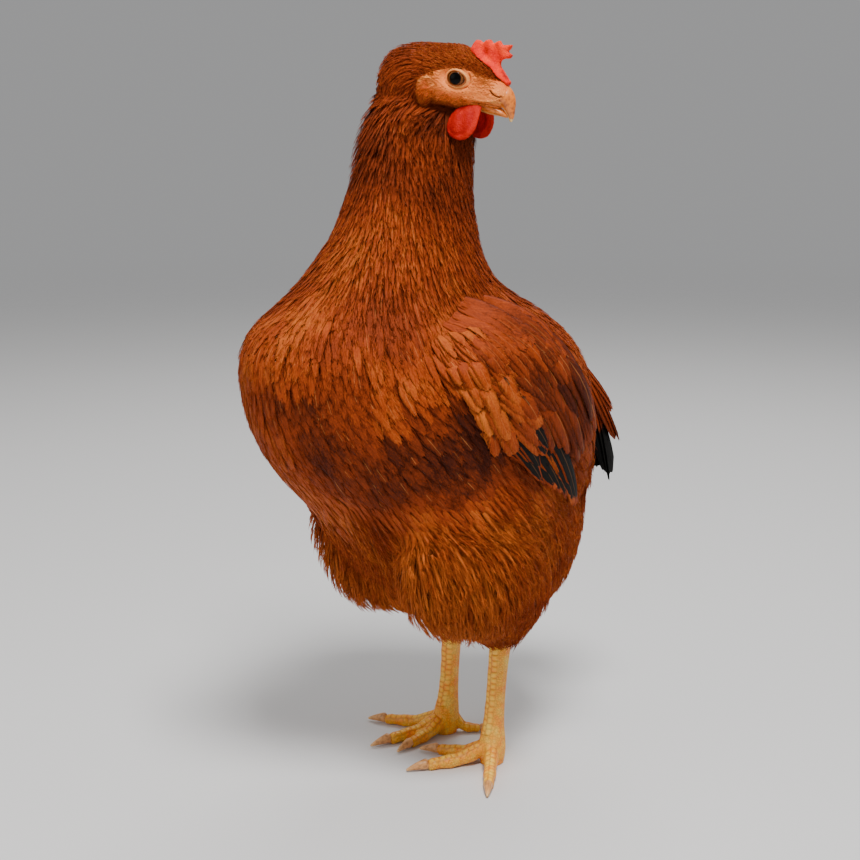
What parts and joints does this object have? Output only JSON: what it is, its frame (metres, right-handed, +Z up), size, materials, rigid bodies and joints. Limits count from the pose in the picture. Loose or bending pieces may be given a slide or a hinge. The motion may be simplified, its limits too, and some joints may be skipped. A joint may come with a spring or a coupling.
{
  "type": "brown laying hen",
  "caption": "Life-size still model of a brown laying hen that stands upright with folded wings and a drooping tail and looks over its left shoulder.",
  "frame": {"origin": "on the floor under the middle of the whole outline", "axes": "+Z up; the hen's body faces -Y and its left side is towards +X"},
  "size_m": [0.1683, 0.26, 0.4181],
  "materials": {
    "plumage": "red-brown body feathers, soft and slightly glossy along each shaft",
    "flight": "red-brown wing and tail feathers with black-brown vanes and paler edges",
    "face": "bare pinkish-tan skin with fine folds and tiny bristle feathers",
    "comb": "soft red-orange skin with a fine pebbled grain",
    "beak": "horn, brown on the ridge and pale tan along the edge",
    "eye": "wet black pupil in a dark brown iris",
    "scales": "yellow-tan overlapping scales, pinker between them",
    "claw": "horn, tan to brown"
  },
  "bodies": {
    "root": {"torso": "plumage", "neck": "plumage", "head": "face", "beak_upper": "beak", "beak_lower": "beak", "comb": "comb", "tail": "flight", "eye_left": "eye", "wattle_left": "comb", "wing_left": "flight", "thigh_left": "plumage", "shank_left": "scales", "toe_left_1": "scales", "claw_left_1": "claw", "toe_left_2": "scales", "claw_left_2": "claw", "toe_left_3": "scales", "claw_left_3": "claw", "toe_left_4": "scales", "claw_left_4": "claw", "eye_right": "eye", "wattle_right": "comb", "wing_right": "flight", "thigh_right": "plumage", "shank_right": "scales", "toe_right_1": "scales", "claw_right_1": "claw", "toe_right_2": "scales", "claw_right_2": "claw", "toe_right_3": "scales", "claw_right_3": "claw", "toe_right_4": "scales", "claw_right_4": "claw"}
  },
  "joints": []
}
